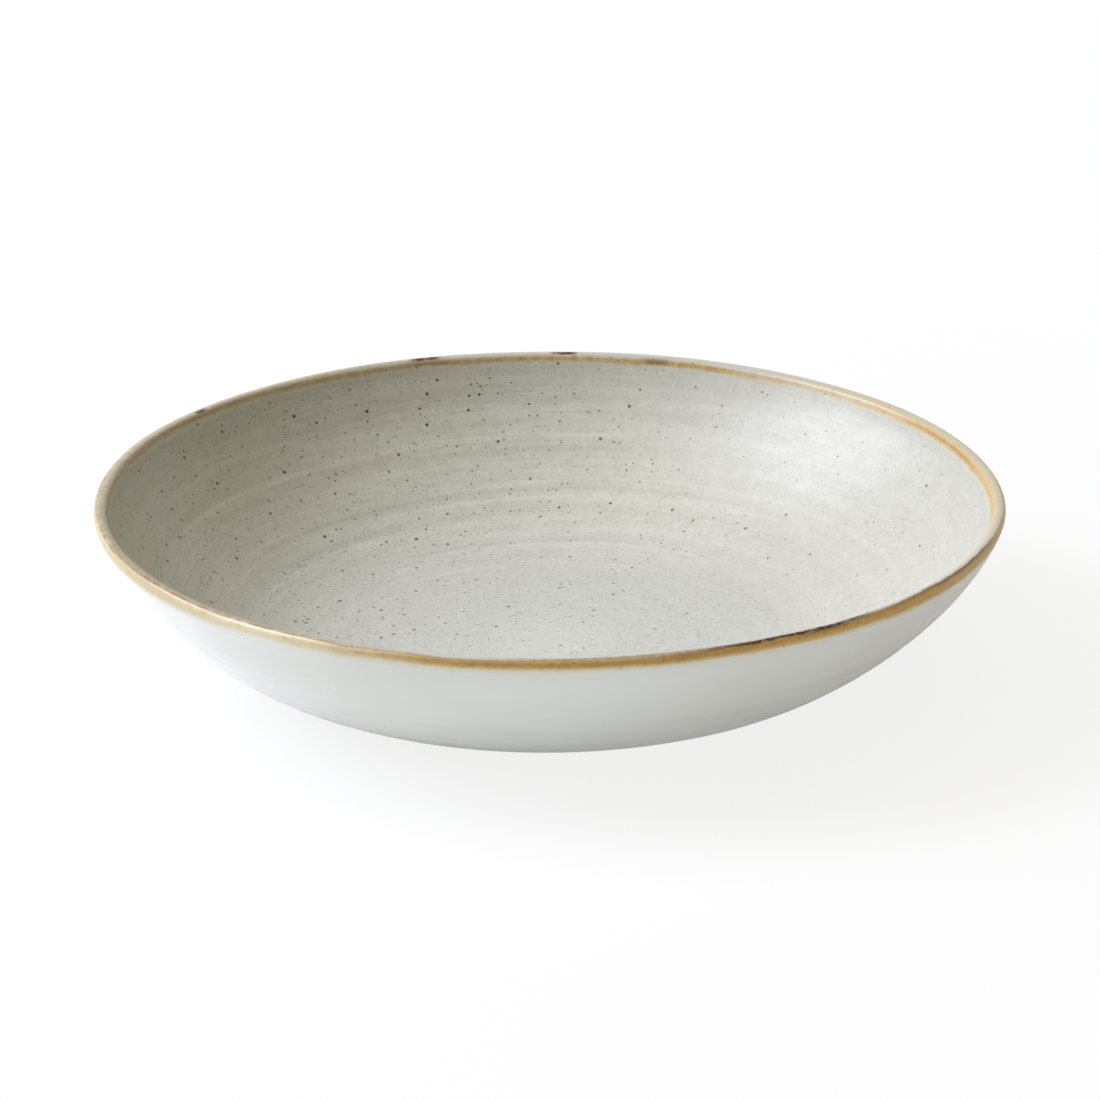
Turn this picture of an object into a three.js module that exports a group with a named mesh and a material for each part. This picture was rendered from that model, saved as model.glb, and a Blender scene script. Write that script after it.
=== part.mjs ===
// A deep coupe plate in stoneware: one turned clay body on a low foot ring, with a grey
// glaze inside, a white glaze outside and under the foot, and an ochre band over the lip.
// Millimetres, +Z up. The origin is the middle of the foot ring, level with the table.

import * as THREE from 'three';

// Overall size, measured over the glaze
const PLATE_DIAMETER = 255;
const PLATE_HEIGHT = 50;

// Foot ring, bare clay where it meets the table
const FOOT_DIAMETER = 136;
const FOOT_RING_WIDTH = 5;
const FOOT_EDGE_ROUND = 1;
const FOOT_COVE = 0.8;
const FOOT_HEIGHT = 3;
const RECESS_DEPTH = 2.4;

// Outside curve of the wall: its slopes in degrees, and how far each end holds its slope
const WALL_FOOT_SLOPE = 5.4;
const WALL_LIP_SLOPE = 72.5;
const WALL_FOOT_PULL = 27.6;
const WALL_LIP_PULL = 17.1;

// Clay thickness, without the glaze
const WALL_THICKNESS = 3.8;
const LIP_THICKNESS = 3.1;
const FLOOR_THICKNESS = 3.4;

// Inside floor: how far the flat reaches from the middle, and how softly the wall runs into it
const FLOOR_FLAT_RADIUS = 30;
const FLOOR_EASE = 11;

// Rounded lip: the crest stands nearer to the outside than to the inside
const LIP_OUTER_ROUND = 1;
const LIP_CROWN = 1.5;

// Glaze coats, and how far the ochre band runs down each side from the shoulders of the lip
const GLAZE_THICKNESS = 0.4;
const RIM_BAND_OUTSIDE = 3.2;
const RIM_BAND_INSIDE = 3;

// Facets round the axis, and along the curves of the profile
const TURN_STEPS = 60;
const WALL_STEPS = 7;
const RIM_STEPS = 2;
const LIP_STEPS = 3;
const FLOOR_STEPS = 4;
const FOOT_STEPS = 2;

// Finishes, as seen in soft daylight
const BARE_CLAY = { color: 0xcdb693, roughness: 0.85, metalness: 0 };
const WHITE_GLAZE = { color: 0xdfe0db, roughness: 0.18, metalness: 0 };
const OCHRE_GLAZE = { color: 0xa98750, roughness: 0.25, metalness: 0 };
const GREY_GLAZE = { color: 0xcfcdc5, roughness: 0.25, metalness: 0 };

// Profile points are Vector2(radius, height). They run from the axis under the plate, out over
// the foot, up the outside, over the lip and back down to the axis inside, so the open air is
// always on the right hand.

const footRadius = FOOT_DIAMETER / 2;
const footInnerRadius = footRadius - FOOT_RING_WIDTH;
const wallFootAngle = THREE.MathUtils.degToRad(WALL_FOOT_SLOPE);
const wallLipAngle = THREE.MathUtils.degToRad(WALL_LIP_SLOPE);
const footDirection = new THREE.Vector2(Math.cos(wallFootAngle), Math.sin(wallFootAngle));
const lipDirection = new THREE.Vector2(Math.cos(wallLipAngle), Math.sin(wallLipAngle));

function rightHand(direction) {
  return new THREE.Vector2(direction.y, -direction.x);
}

function along(point, direction, distance) {
  return point.clone().addScaledVector(direction, distance);
}

// The underside inside the foot ring: a flat ceiling that coves down into the ring.
function recessProfile() {
  const cove = Math.min(FOOT_COVE, (RECESS_DEPTH - FOOT_EDGE_ROUND) / 2);
  const path = new THREE.Path();
  path.moveTo(0, RECESS_DEPTH);
  path.lineTo(footInnerRadius - cove, RECESS_DEPTH);
  path.quadraticCurveTo(footInnerRadius, RECESS_DEPTH, footInnerRadius, RECESS_DEPTH - cove);
  path.lineTo(footInnerRadius, FOOT_EDGE_ROUND);
  return path.getPoints(FOOT_STEPS);
}

// The bare foot: a flat ring on the table with both edges rounded.
function bareFootProfile() {
  const path = new THREE.Path();
  const innerCentre = footInnerRadius + FOOT_EDGE_ROUND;
  const outerCentre = footRadius - FOOT_EDGE_ROUND;
  path.absarc(innerCentre, FOOT_EDGE_ROUND, FOOT_EDGE_ROUND, Math.PI, 1.5 * Math.PI);
  path.absarc(outerCentre, FOOT_EDGE_ROUND, FOOT_EDGE_ROUND, 1.5 * Math.PI, 2 * Math.PI);
  return path.getPoints(FOOT_STEPS / 2);
}

// The middle of the rounded lip, set so that the glazed lip just reaches the overall diameter
// and height: each side of the lip is a quarter of an ellipse that leans with the wall.
function lipCentre() {
  const outward = rightHand(lipDirection);
  const innerRound = LIP_THICKNESS - LIP_OUTER_ROUND;
  const reach = Math.hypot(LIP_OUTER_ROUND * outward.x, LIP_CROWN * lipDirection.x);
  const rise = Math.hypot(innerRound * outward.y, LIP_CROWN * lipDirection.y);
  return new THREE.Vector2(
    PLATE_DIAMETER / 2 - GLAZE_THICKNESS - reach,
    PLATE_HEIGHT - GLAZE_THICKNESS - rise,
  );
}

// The outside of the wall is one sweep from the root of the foot to the shoulder of the lip.
const footCove = Math.min(FOOT_COVE, (FOOT_HEIGHT - FOOT_EDGE_ROUND) / 2);
const footRoot = new THREE.Vector2(footRadius, FOOT_HEIGHT);
const wallStart = along(footRoot, footDirection, footCove);
const wallEnd = along(lipCentre(), rightHand(lipDirection), LIP_OUTER_ROUND);
const wallCurve = new THREE.CubicBezierCurve(
  wallStart,
  along(wallStart, footDirection, WALL_FOOT_PULL),
  along(wallEnd, lipDirection, -WALL_LIP_PULL),
  wallEnd,
);

function outerWallPoint(share) {
  return wallCurve.getPointAt(share);
}

// The inside of the wall follows the outside, one clay thickness away.
function innerWallPoint(share) {
  const thickness = THREE.MathUtils.lerp(WALL_THICKNESS, LIP_THICKNESS, share);
  return along(outerWallPoint(share), rightHand(wallCurve.getTangentAt(share)), -thickness);
}

function wallStretch(wallPoint, from, to, steps) {
  const points = [];
  for (let step = 0; step <= steps; step += 1) {
    points.push(wallPoint(THREE.MathUtils.lerp(from, to, step / steps)));
  }
  return points;
}

// Where the ochre band ends, as a share of the way from the foot to the lip.
const outerBandEdge = 1 - RIM_BAND_OUTSIDE / wallCurve.getLength();
const innerBandEdge = 1 - RIM_BAND_INSIDE / wallCurve.getLength();

function outsideProfile() {
  const root = new THREE.Path();
  root.moveTo(footRadius, FOOT_EDGE_ROUND);
  root.lineTo(footRadius, FOOT_HEIGHT - footCove);
  root.quadraticCurveTo(footRoot.x, footRoot.y, wallStart.x, wallStart.y);
  const wall = wallStretch(outerWallPoint, 0, outerBandEdge, WALL_STEPS);
  return [...root.getPoints(FOOT_STEPS), ...wall.slice(1)];
}

function lipHalf(roundness, fromAngle, toAngle) {
  const centre = lipCentre();
  const lean = wallLipAngle - Math.PI / 2;
  const arc = new THREE.EllipseCurve(
    centre.x, centre.y, roundness, LIP_CROWN, fromAngle, toAngle, false, lean,
  );
  return arc.getPoints(LIP_STEPS);
}

function rimProfile() {
  const outerHalf = lipHalf(LIP_OUTER_ROUND, 0, Math.PI / 2);
  const innerHalf = lipHalf(LIP_THICKNESS - LIP_OUTER_ROUND, Math.PI / 2, Math.PI);
  return [
    ...wallStretch(outerWallPoint, outerBandEdge, 1, RIM_STEPS),
    ...outerHalf.slice(1),
    ...innerHalf.slice(1, -1),
    ...wallStretch(innerWallPoint, 1, innerBandEdge, RIM_STEPS),
  ];
}

function insideProfile() {
  const floorHeight = RECESS_DEPTH + FLOOR_THICKNESS;
  const floorEdge = innerWallPoint(0);
  const floorCurve = new THREE.CubicBezierCurve(
    floorEdge,
    along(floorEdge, footDirection, -FLOOR_EASE),
    new THREE.Vector2(FLOOR_FLAT_RADIUS, floorHeight),
    new THREE.Vector2(0, floorHeight),
  );
  const wall = wallStretch(innerWallPoint, innerBandEdge, 0, WALL_STEPS);
  return [...wall, ...floorCurve.getPoints(FLOOR_STEPS).slice(1)];
}

function mirrored(point) {
  return new THREE.Vector2(-point.x, point.y);
}

// A point's way out into the air, halfway between its two neighbouring faces. The outline is
// mirrored past the axis, so there the way out is straight up or down.
function wayOut(points, index) {
  const here = points[index];
  const before = points[index - 1] ?? mirrored(points[index + 1]);
  const after = points[index + 1] ?? mirrored(points[index - 1]);
  const arriving = here.clone().sub(before).normalize();
  const leaving = after.clone().sub(here).normalize();
  const bisector = arriving.clone().add(leaving).normalize();
  return rightHand(bisector).divideScalar(bisector.dot(arriving));
}

// The clay outline, with the place where each stretch of it starts and ends.
const stretches = {
  recess: recessProfile(),
  bareFoot: bareFootProfile(),
  outside: outsideProfile(),
  rim: rimProfile(),
  inside: insideProfile(),
};
const clayOutline = [];
const span = {};
for (const [name, points] of Object.entries(stretches)) {
  const joined = clayOutline.length === 0 ? points : points.slice(1);
  const start = Math.max(clayOutline.length - 1, 0);
  clayOutline.push(...joined);
  span[name] = { start, end: clayOutline.length };
}
const glazeOutline = clayOutline.map(
  (point, index) => along(point, wayOut(clayOutline, index), GLAZE_THICKNESS),
);

// A coat lies between the clay and the surface of the glaze over one stretch of the outline.
// One that reaches the axis starts and ends there, and any other closes on itself.
function coatOutline({ start, end }) {
  const surface = glazeOutline.slice(start, end);
  const bed = clayOutline.slice(start, end).reverse();
  if (surface[0].x === 0) {
    return [...surface, ...bed];
  }
  if (bed[0].x === 0) {
    return [...bed, ...surface];
  }
  return [...surface, ...bed, surface[0]];
}

function turned(name, outline, finish) {
  const geometry = new THREE.LatheGeometry(outline, TURN_STEPS);
  geometry.rotateX(Math.PI / 2);
  const mesh = new THREE.Mesh(geometry, new THREE.MeshStandardMaterial(finish));
  mesh.name = name;
  return mesh;
}

const plate = new THREE.Group();
plate.add(turned('clay_body', clayOutline, BARE_CLAY));
plate.add(turned('base_glaze', coatOutline(span.recess), WHITE_GLAZE));
plate.add(turned('outer_glaze', coatOutline(span.outside), WHITE_GLAZE));
plate.add(turned('rim_band', coatOutline(span.rim), OCHRE_GLAZE));
plate.add(turned('inner_glaze', coatOutline(span.inside), GREY_GLAZE));

export default plate;
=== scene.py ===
# %% [markdown]
# A glazed stoneware plate, from CAD frame to picture
#
# The object is a deep coupe plate: a disc of stoneware turned on a wheel, with a wall that
# sweeps up from a small foot ring to a rounded lip. It carries four coats of glaze. The inside
# is light grey with dark specks and soft brush bands, the outside and the recess under the
# foot are white, and an ochre band wraps over the lip between them.
#
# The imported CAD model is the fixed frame. It says how large everything is and where it goes.
# This lesson turns each coat again as a fine mesh, then spends most of its effort on glaze.

# %% Load the frame
import math

import bpy
import numpy as np
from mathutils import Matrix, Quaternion, Vector


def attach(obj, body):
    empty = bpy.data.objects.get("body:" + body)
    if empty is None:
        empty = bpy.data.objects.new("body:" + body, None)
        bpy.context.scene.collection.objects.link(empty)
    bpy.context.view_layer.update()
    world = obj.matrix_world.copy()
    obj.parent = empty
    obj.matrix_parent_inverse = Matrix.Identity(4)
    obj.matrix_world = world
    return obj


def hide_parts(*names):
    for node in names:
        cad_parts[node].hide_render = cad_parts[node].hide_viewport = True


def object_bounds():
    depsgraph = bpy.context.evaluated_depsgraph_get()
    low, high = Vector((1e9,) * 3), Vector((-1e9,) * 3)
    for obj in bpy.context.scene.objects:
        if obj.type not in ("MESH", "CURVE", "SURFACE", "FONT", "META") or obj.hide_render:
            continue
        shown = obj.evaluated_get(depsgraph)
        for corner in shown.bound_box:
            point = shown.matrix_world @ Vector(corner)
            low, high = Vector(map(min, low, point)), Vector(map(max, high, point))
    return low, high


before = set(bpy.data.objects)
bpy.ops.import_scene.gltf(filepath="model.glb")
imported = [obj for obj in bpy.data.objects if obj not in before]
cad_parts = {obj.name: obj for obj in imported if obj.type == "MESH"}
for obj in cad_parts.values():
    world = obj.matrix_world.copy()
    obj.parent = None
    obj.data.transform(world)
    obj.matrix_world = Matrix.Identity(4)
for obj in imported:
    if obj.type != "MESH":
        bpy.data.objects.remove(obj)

cad_low, cad_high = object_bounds()
print(len(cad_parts), "CAD nodes, box in metres:", tuple(cad_low), tuple(cad_high))

# %% [markdown]
# The camera
#
# The plate was seen from about 20 degrees above the table with a long lens, which is the usual
# way to show tableware: a long lens keeps the far lip and the near lip at nearly one scale.
# A camera can be placed by eye, but here its numbers come from fitting the ellipse of the lip.
# Blender's camera looks along its own -Z, so `to_track_quat` turns that axis onto the target.

# %% Place the camera
# Places are in metres, the lens and the sensor in mm
CAMERA_ELEVATION = math.radians(20.48)
CAMERA_DISTANCE = 1.80
CAMERA_LENS = 210.4
CAMERA_SENSOR = 36.0
CAMERA_TARGET = Vector((0.0004, 0.0, 0.0334))
CAMERA_ROLL = math.radians(-0.33)


def plate_camera():
    data = bpy.data.cameras.new("plate_camera")
    data.lens = CAMERA_LENS
    data.sensor_width = CAMERA_SENSOR
    camera = bpy.data.objects.new("plate_camera", data)
    back = Vector((0.0, -math.cos(CAMERA_ELEVATION), math.sin(CAMERA_ELEVATION)))
    camera.location = CAMERA_TARGET + back * CAMERA_DISTANCE
    camera.rotation_mode = "QUATERNION"
    aim = (-back).to_track_quat("-Z", "Y")
    camera.rotation_quaternion = aim @ Quaternion((0.0, 0.0, 1.0), CAMERA_ROLL)
    bpy.context.collection.objects.link(camera)
    bpy.context.scene.camera = camera
    return camera


camera = plate_camera()
print("camera at", tuple(round(v, 3) for v in camera.location))

# %% [markdown]
# The profile of the plate
#
# A turned object is one line swung round an axis, so the whole plate is first a list of
# (radius, height) points in millimetres. The line runs from the axis under the plate, over the
# foot, up the outside, over the lip and down the inside to the axis again. The overall size
# comes from the frame, and the other sizes repeat the ones that the CAD solids were made with.

# %% Sizes of the profile
MM = 0.001
PLATE_RADIUS = cad_high.x / MM
PLATE_HEIGHT = cad_high.z / MM
GLAZE = 0.4
FOOT_RADIUS = 68.0
FOOT_RING_WIDTH = 5.0
FOOT_EDGE_ROUND = 1.0
FOOT_COVE = 0.8
FOOT_HEIGHT = 3.0
RECESS_DEPTH = 2.4
RECESS_COVE = 0.7
FLOOR_HEIGHT = 5.8
FLOOR_FLAT_RADIUS = 30.0
FLOOR_EASE = 11.0
WALL_FOOT_SLOPE = 5.4
WALL_LIP_SLOPE = 72.5
WALL_FOOT_PULL = 27.6
WALL_LIP_PULL = 17.1
WALL_THICKNESS = 3.8
LIP_THICKNESS = 3.1
LIP_OUTER_ROUND = 1.0
LIP_CROWN = 1.5
BAND_OUTSIDE = 3.2
BAND_INSIDE = 3.0
print("plate", round(2 * PLATE_RADIUS, 1), "mm across,", round(PLATE_HEIGHT, 1), "mm high")

# %% Helpers for lines of points
# In mm: points nearer than this are one point, and a radius below this is on the axis
SAME_POINT = 1e-4
ON_AXIS = 1e-6


def heading(degrees):
    return np.array([math.cos(math.radians(degrees)), math.sin(math.radians(degrees))])


def right_hand(directions):
    return np.stack([directions[..., 1], -directions[..., 0]], axis=-1)


def bezier(*corners, steps):
    """A Bezier curve of any degree, by repeated blending of its corner points."""
    share = np.linspace(0.0, 1.0, steps + 1)[:, None]
    levels = [np.repeat(np.array(c, float)[None], steps + 1, axis=0) for c in corners]
    while len(levels) > 1:
        levels = [a * (1 - share) + b * share for a, b in zip(levels, levels[1:])]
    return levels[0]


def ellipse(centre, across, up, start, end, steps):
    turn_angle = np.radians(np.linspace(start, end, steps + 1))[:, None]
    return centre + across * np.cos(turn_angle) + up * np.sin(turn_angle)


def gaps(points):
    return np.linalg.norm(np.diff(points, axis=0), axis=1)


def lengths(points):
    """Distance along a line of points, from its first point."""
    return np.concatenate([[0.0], np.cumsum(gaps(points))])


def joined(*lines):
    """Lines end to end, without the points that two of them share."""
    points = np.vstack(lines)
    return points[np.concatenate([[True], gaps(points) > SAME_POINT])]


def way_out(points):
    """The direction out of the clay at each point: the right hand of the way along the line."""
    run = np.gradient(points, axis=0)
    run[0] = (1.0, 0.0) if points[0, 0] < ON_AXIS else run[0]
    run[-1] = (-1.0, 0.0) if points[-1, 0] < ON_AXIS else run[-1]
    return right_hand(run / np.linalg.norm(run, axis=1)[:, None])


print("a wall at the lip leans", 90 - WALL_LIP_SLOPE, "degrees, its way out is",
      right_hand(heading(WALL_LIP_SLOPE)).round(3))

# %% [markdown]
# Foot and wall
#
# The foot ring is two rounded corners with a flat between them, and it is the only bare clay.
# The outside of the wall is a single cubic Bezier curve: near the foot it leaves almost flat,
# and at the lip it stands at 72 degrees. Arcs and curves like these are easier to change than
# a long list of points, and they never wobble.

# %% Draw the foot and the outside wall
FINE_STEPS = 64
CORNER_STEPS = 8

foot_way = heading(WALL_FOOT_SLOPE)
lip_way = heading(WALL_LIP_SLOPE)
lip_out = right_hand(lip_way)
foot_inner = FOOT_RADIUS - FOOT_RING_WIDTH
round_across = np.array([FOOT_EDGE_ROUND, 0.0])
round_up = np.array([0.0, FOOT_EDGE_ROUND])

recess_line = joined(
    [(0.0, RECESS_DEPTH)],
    bezier((foot_inner - RECESS_COVE, RECESS_DEPTH), (foot_inner, RECESS_DEPTH),
           (foot_inner, RECESS_DEPTH - RECESS_COVE), steps=CORNER_STEPS),
    [(foot_inner, FOOT_EDGE_ROUND)],
)
foot_line = joined(
    ellipse(np.array([foot_inner + FOOT_EDGE_ROUND, FOOT_EDGE_ROUND]), round_across, round_up,
            180, 270, CORNER_STEPS),
    ellipse(np.array([FOOT_RADIUS - FOOT_EDGE_ROUND, FOOT_EDGE_ROUND]), round_across, round_up,
            270, 360, CORNER_STEPS),
)
lip_inner_round = LIP_THICKNESS - LIP_OUTER_ROUND
lip_centre = np.array([
    PLATE_RADIUS - GLAZE - math.hypot(LIP_OUTER_ROUND * lip_out[0], LIP_CROWN * lip_way[0]),
    PLATE_HEIGHT - GLAZE - math.hypot(lip_inner_round * lip_out[1], LIP_CROWN * lip_way[1]),
])
foot_root = np.array([FOOT_RADIUS, FOOT_HEIGHT])
wall_start = foot_root + FOOT_COVE * foot_way
wall_end = lip_centre + LIP_OUTER_ROUND * lip_out
root_line = bezier((FOOT_RADIUS, FOOT_HEIGHT - FOOT_COVE), foot_root, wall_start,
                   steps=CORNER_STEPS)
wall_line = bezier(wall_start, wall_start + WALL_FOOT_PULL * foot_way,
                   wall_end - WALL_LIP_PULL * lip_way, wall_end, steps=4 * FINE_STEPS)
outside_clay = joined([(FOOT_RADIUS, FOOT_EDGE_ROUND)], root_line, wall_line)
print("wall is", round(lengths(wall_line)[-1], 1), "mm from foot to lip")

# %% [markdown]
# Lip and inside
#
# The lip is two quarter ellipses that share their crest, the outer one tighter than the inner
# one, which is how a wet sponge leaves it. The inside of the wall follows the outside one wall
# thickness away, and then eases into the floor. A second Bezier curve does that, with its last
# handle level, so that the floor has no point in the middle.

# %% Draw the lip and the inside
wall_share = lengths(wall_line) / lengths(wall_line)[-1]
wall_thickness = WALL_THICKNESS + (LIP_THICKNESS - WALL_THICKNESS) * wall_share
inner_wall_line = wall_line - way_out(wall_line) * wall_thickness[:, None]
lip_line = joined(
    ellipse(lip_centre, LIP_OUTER_ROUND * lip_out, LIP_CROWN * lip_way, 0, 90, FINE_STEPS),
    ellipse(lip_centre, lip_inner_round * lip_out, LIP_CROWN * lip_way, 90, 180, FINE_STEPS),
)
floor_edge = inner_wall_line[0]
floor_line = bezier(floor_edge, floor_edge - FLOOR_EASE * foot_way,
                    (FLOOR_FLAT_RADIUS, FLOOR_HEIGHT), (0.0, FLOOR_HEIGHT),
                    steps=2 * FINE_STEPS)
inside_clay = joined(inner_wall_line[::-1], floor_line)
print("lip centre", lip_centre.round(2), "floor edge", floor_edge.round(2))

# %% [markdown]
# Coats of glaze
#
# Glaze follows the clay at an even depth, so its surface is the clay line moved out along its
# own normals. The line is cut where one coat meets the next. Every point also keeps its
# distance from the crest of the lip, outside counted as plus and inside as minus. That single
# number is the best friend of the materials later on: a painted band is just a range of it.

# %% Move the line out and cut it into coats
over_clay = joined(outside_clay, lip_line, inside_clay)
over_glaze = over_clay + GLAZE * way_out(over_clay)
crest = int(np.argmax(over_glaze[:, 1]))
from_crest = lengths(over_glaze)[crest] - lengths(over_glaze)
MIDDLE = float(-from_crest[-1])


def nearest(distance):
    return int(np.argmin(np.abs(lengths(over_clay) - distance)))


outside_edge = nearest(lengths(outside_clay)[-1] - BAND_OUTSIDE)
inside_edge = nearest(lengths(over_clay)[-1] - lengths(inside_clay)[-1] + BAND_INSIDE)
recess_glaze = recess_line + GLAZE * way_out(recess_line)
print("the band runs from", from_crest[outside_edge].round(2), "to",
      from_crest[inside_edge].round(2), "mm about the crest; the middle is",
      round(MIDDLE, 1), "mm away")

# %% [markdown]
# What the hand and the kiln leave behind
#
# A turned plate is never a perfect lathe shape. The brush and the potter's rib leave shallow
# rings inside, and the glaze pools a little. The fire draws the lip in by about a millimetre,
# except at one stubborn place on the right, with a trace more on both sides of that place. The
# lip tilts and sags in shallow waves, and one flank of the wall is flatter. All of it is added
# to the mesh itself, so it shows in the outline and in the gloss from every side. Sines with a
# whole number of waves per turn close on themselves without a seam. The kiln only moves points
# inward and down, so the plate stays in its CAD box.

# %% Relief and warp
# Each wave of the rings: mm wide, waves it climbs in one turn, mm high, phase
RING_WAVES = ((7.4, 1, 0.018, 0.4), (4.6, -1, 0.010, 2.1), (3.1, 2, 0.006, 4.0))
# Where the rings fade in and out, in mm from the crest, and their share on the outside
RINGS_INSIDE = (6.0, 16.0)
RINGS_OUTSIDE = (8.0, 20.0)
RINGS_END_AT_FOOT = (60.0, 80.0)
OUTSIDE_SHARE = 0.2
# Each wave of pooled glaze: waves per turn, mm high, phase per mm; and where they fade in
POOLING = ((3, 0.02, 0.4), (7, 0.015, -0.7))
POOLING_FADES_IN = (0.0, 3.0)
# How far the kiln moves the lip and the wall, in mm, and where
LIP_DRAWN_IN = 0.8
STUBBORN_ANGLE = math.radians(-7)
STUBBORN_SPREAD = math.radians(17)
SHOULDER_DRAWN_IN = 0.3
SHOULDER_ANGLE = math.radians(32)
SHOULDER_SPREAD = math.radians(13)
FLANK_FLAT = 0.5
FLANK_ANGLE = math.radians(-75)
LIP_TILT = 0.22
LIP_SAG, SAG_WAVES, SAG_PHASE = 0.1, 8, 2.9
SAG_POWER = 3
FULL_PULL_HEIGHT = 20.0


def fade(value, start, end):
    share = np.clip((value - start) / (end - start), 0.0, 1.0)
    return share * share * (3 - 2 * share)


def hand_relief(along, angle):
    """How far the glaze stands out at a distance from the crest and an angle, in mm."""
    rings = sum(height * np.sin(2 * np.pi * along / width + climb * angle + phase)
                for width, climb, height, phase in RING_WAVES)
    inside = fade(-along, *RINGS_INSIDE)
    outside = fade(along, *RINGS_OUTSIDE) * (1 - fade(along, *RINGS_END_AT_FOOT))
    pooled = sum(height * np.sin(waves * angle + slant * along)
                 for waves, height, slant in POOLING)
    pooled = pooled * fade(np.abs(along), *POOLING_FADES_IN)
    return inside * rings + OUTSIDE_SHARE * outside * rings + pooled


def kiln_warp(radius, height, angle):
    """Where the fire leaves a point: the lip is drawn in, tilts and sags."""
    pull = np.clip(height / FULL_PULL_HEIGHT, 0.0, 1.0)
    rise = np.clip(height / PLATE_HEIGHT, 0.0, 1.0)
    away = np.angle(np.exp(1j * (angle - STUBBORN_ANGLE)))
    drawn_in = LIP_DRAWN_IN * (1 - np.exp(-((away / STUBBORN_SPREAD) ** 2)))
    beside = (np.abs(away) - SHOULDER_ANGLE) / SHOULDER_SPREAD
    drawn_in = drawn_in + SHOULDER_DRAWN_IN * np.exp(-(beside ** 2))
    flank = FLANK_FLAT * np.sin(np.pi * rise) * (1 + np.cos(angle - FLANK_ANGLE)) / 2
    sagged = LIP_SAG * (1 - np.cos(SAG_WAVES * angle + SAG_PHASE))
    sagged = sagged + LIP_TILT * (1 + np.cos(angle))
    return radius - pull * drawn_in - flank, height - rise ** SAG_POWER * sagged


print("rings up to", round(sum(wave[2] for wave in RING_WAVES), 3), "mm; lip drawn in by",
      LIP_DRAWN_IN, "mm")

# %% [markdown]
# Turning a line into a mesh
#
# Blender's Screw modifier or `bmesh.ops.spin` would swing a line round the axis too. Building
# the grid of vertices directly is just as short, and it lets the relief above act on each
# vertex. Every row of the line becomes a ring of vertices, a point on the axis becomes a single
# vertex, and the rows of a closed coat wrap round from the bed back to the surface.

# %% The turning function
TURNS = 360


def strip(low, high):
    """The faces between two rings, counted so that they face out of the clay."""
    if len(low) == 1:
        return [(low[0], b, a) for a, b in zip(high, np.roll(high, -1))]
    if len(high) == 1:
        return [(a, b, high[0]) for a, b in zip(low, np.roll(low, -1))]
    return list(zip(low, np.roll(low, -1), np.roll(high, -1), high))


def turn(name, rows, along, shows, closed):
    """A mesh of revolution. rows are (radius, height) in mm, along is each row's distance from
    the crest, and shows is 1 for the rows that carry the marks of the hand."""
    angle = np.linspace(0.0, 2 * np.pi, TURNS, endpoint=False)
    vertices, marks, rings = [], [], []
    for row, normal, distance, share in zip(rows, way_out(rows), along, shows):
        on_axis = row[0] < ON_AXIS
        around = angle[:1] if on_axis else angle
        lift = 0.0 if on_axis else share * hand_relief(distance, around)
        radius, height = kiln_warp(row[0] + normal[0] * lift, row[1] + normal[1] * lift, around)
        radius = radius * 0.0 if on_axis else radius
        ring = np.stack([radius * np.cos(around), radius * np.sin(around), height], axis=1)
        rings.append(list(range(len(vertices), len(vertices) + len(ring))))
        vertices.extend((ring * MM).tolist())
        marks.extend([distance] * len(ring))
    pairs = list(zip(rings, rings[1:])) + ([(rings[-1], rings[0])] if closed else [])
    faces = [tuple(int(corner) for corner in face) for pair in pairs for face in strip(*pair)]
    mesh = bpy.data.meshes.new(name)
    mesh.from_pydata(vertices, [], faces)
    mesh.attributes.new("from_crest", "FLOAT", "POINT").data.foreach_set("value", marks)
    mesh.shade_smooth()
    piece = bpy.data.objects.new(name, mesh)
    bpy.context.collection.objects.link(piece)
    return piece, rings


print("each ring has", TURNS, "vertices")

# %% [markdown]
# The coats and the body
#
# Each coat is a closed shell: the surface that shows, the bed that lies on the clay, and the
# two narrow ends. The edges of the ends are marked sharp, so that smooth shading doesn't bend
# round them and neighbouring coats meet without a dark line. The surface has a row every half
# millimetre or so inside, and finer over the lip, where the light bends most.

# %% Turn the coats
# Distance from row to row of vertices, in mm
OUTSIDE_STEP = 0.7
LIP_STEP = 0.22
INSIDE_STEP = 0.6
BASE_STEP = 1.5
BED_STEP = 4.0


def evenly(points, along, step):
    """The same line with points at an even spacing, and their distances from the crest."""
    run = lengths(points)
    wanted = np.linspace(0.0, run[-1], max(2, round(run[-1] / step)) + 1)
    spaced = np.stack([np.interp(wanted, run, points[:, k]) for k in (0, 1)], axis=1)
    return spaced, np.interp(wanted, run, along)


def sharpen(mesh, rings):
    """Marks the edges that run along these rings as sharp."""
    ring_of = np.full(len(mesh.vertices), -1)
    for number, ring in enumerate(rings):
        ring_of[ring] = number
    ends = np.zeros(2 * len(mesh.edges), np.int32)
    mesh.edges.foreach_get("vertices", ends)
    first, second = ring_of[ends.reshape(-1, 2)].T
    mesh.edges.foreach_set("use_edge_sharp", (first == second) & (first >= 0))


def coat(name, clay, glaze, along, step):
    surface, surface_along = evenly(glaze, along, step)
    bed, bed_along = evenly(clay[::-1], along[::-1], BED_STEP)
    parts = [(surface, surface_along, 1.0), (bed, bed_along, 0.0)]
    ends_on_axis = clay[-1, 0] < ON_AXIS
    if ends_on_axis:
        parts.reverse()
    rows = np.vstack([part[0] for part in parts])
    marks = np.concatenate([part[1] for part in parts])
    shows = np.concatenate([np.full(len(part[0]), part[2]) for part in parts])
    closed = not (ends_on_axis or clay[0, 0] < ON_AXIS)
    piece, rings = turn(name, rows, marks, shows, closed)
    seam = len(parts[0][0])
    ends = [rings[seam - 1], rings[seam]] + ([rings[0], rings[-1]] if closed else [])
    sharpen(piece.data, ends)
    return piece


def stretch(start, end):
    return over_clay[start:end + 1], over_glaze[start:end + 1], from_crest[start:end + 1]


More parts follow.
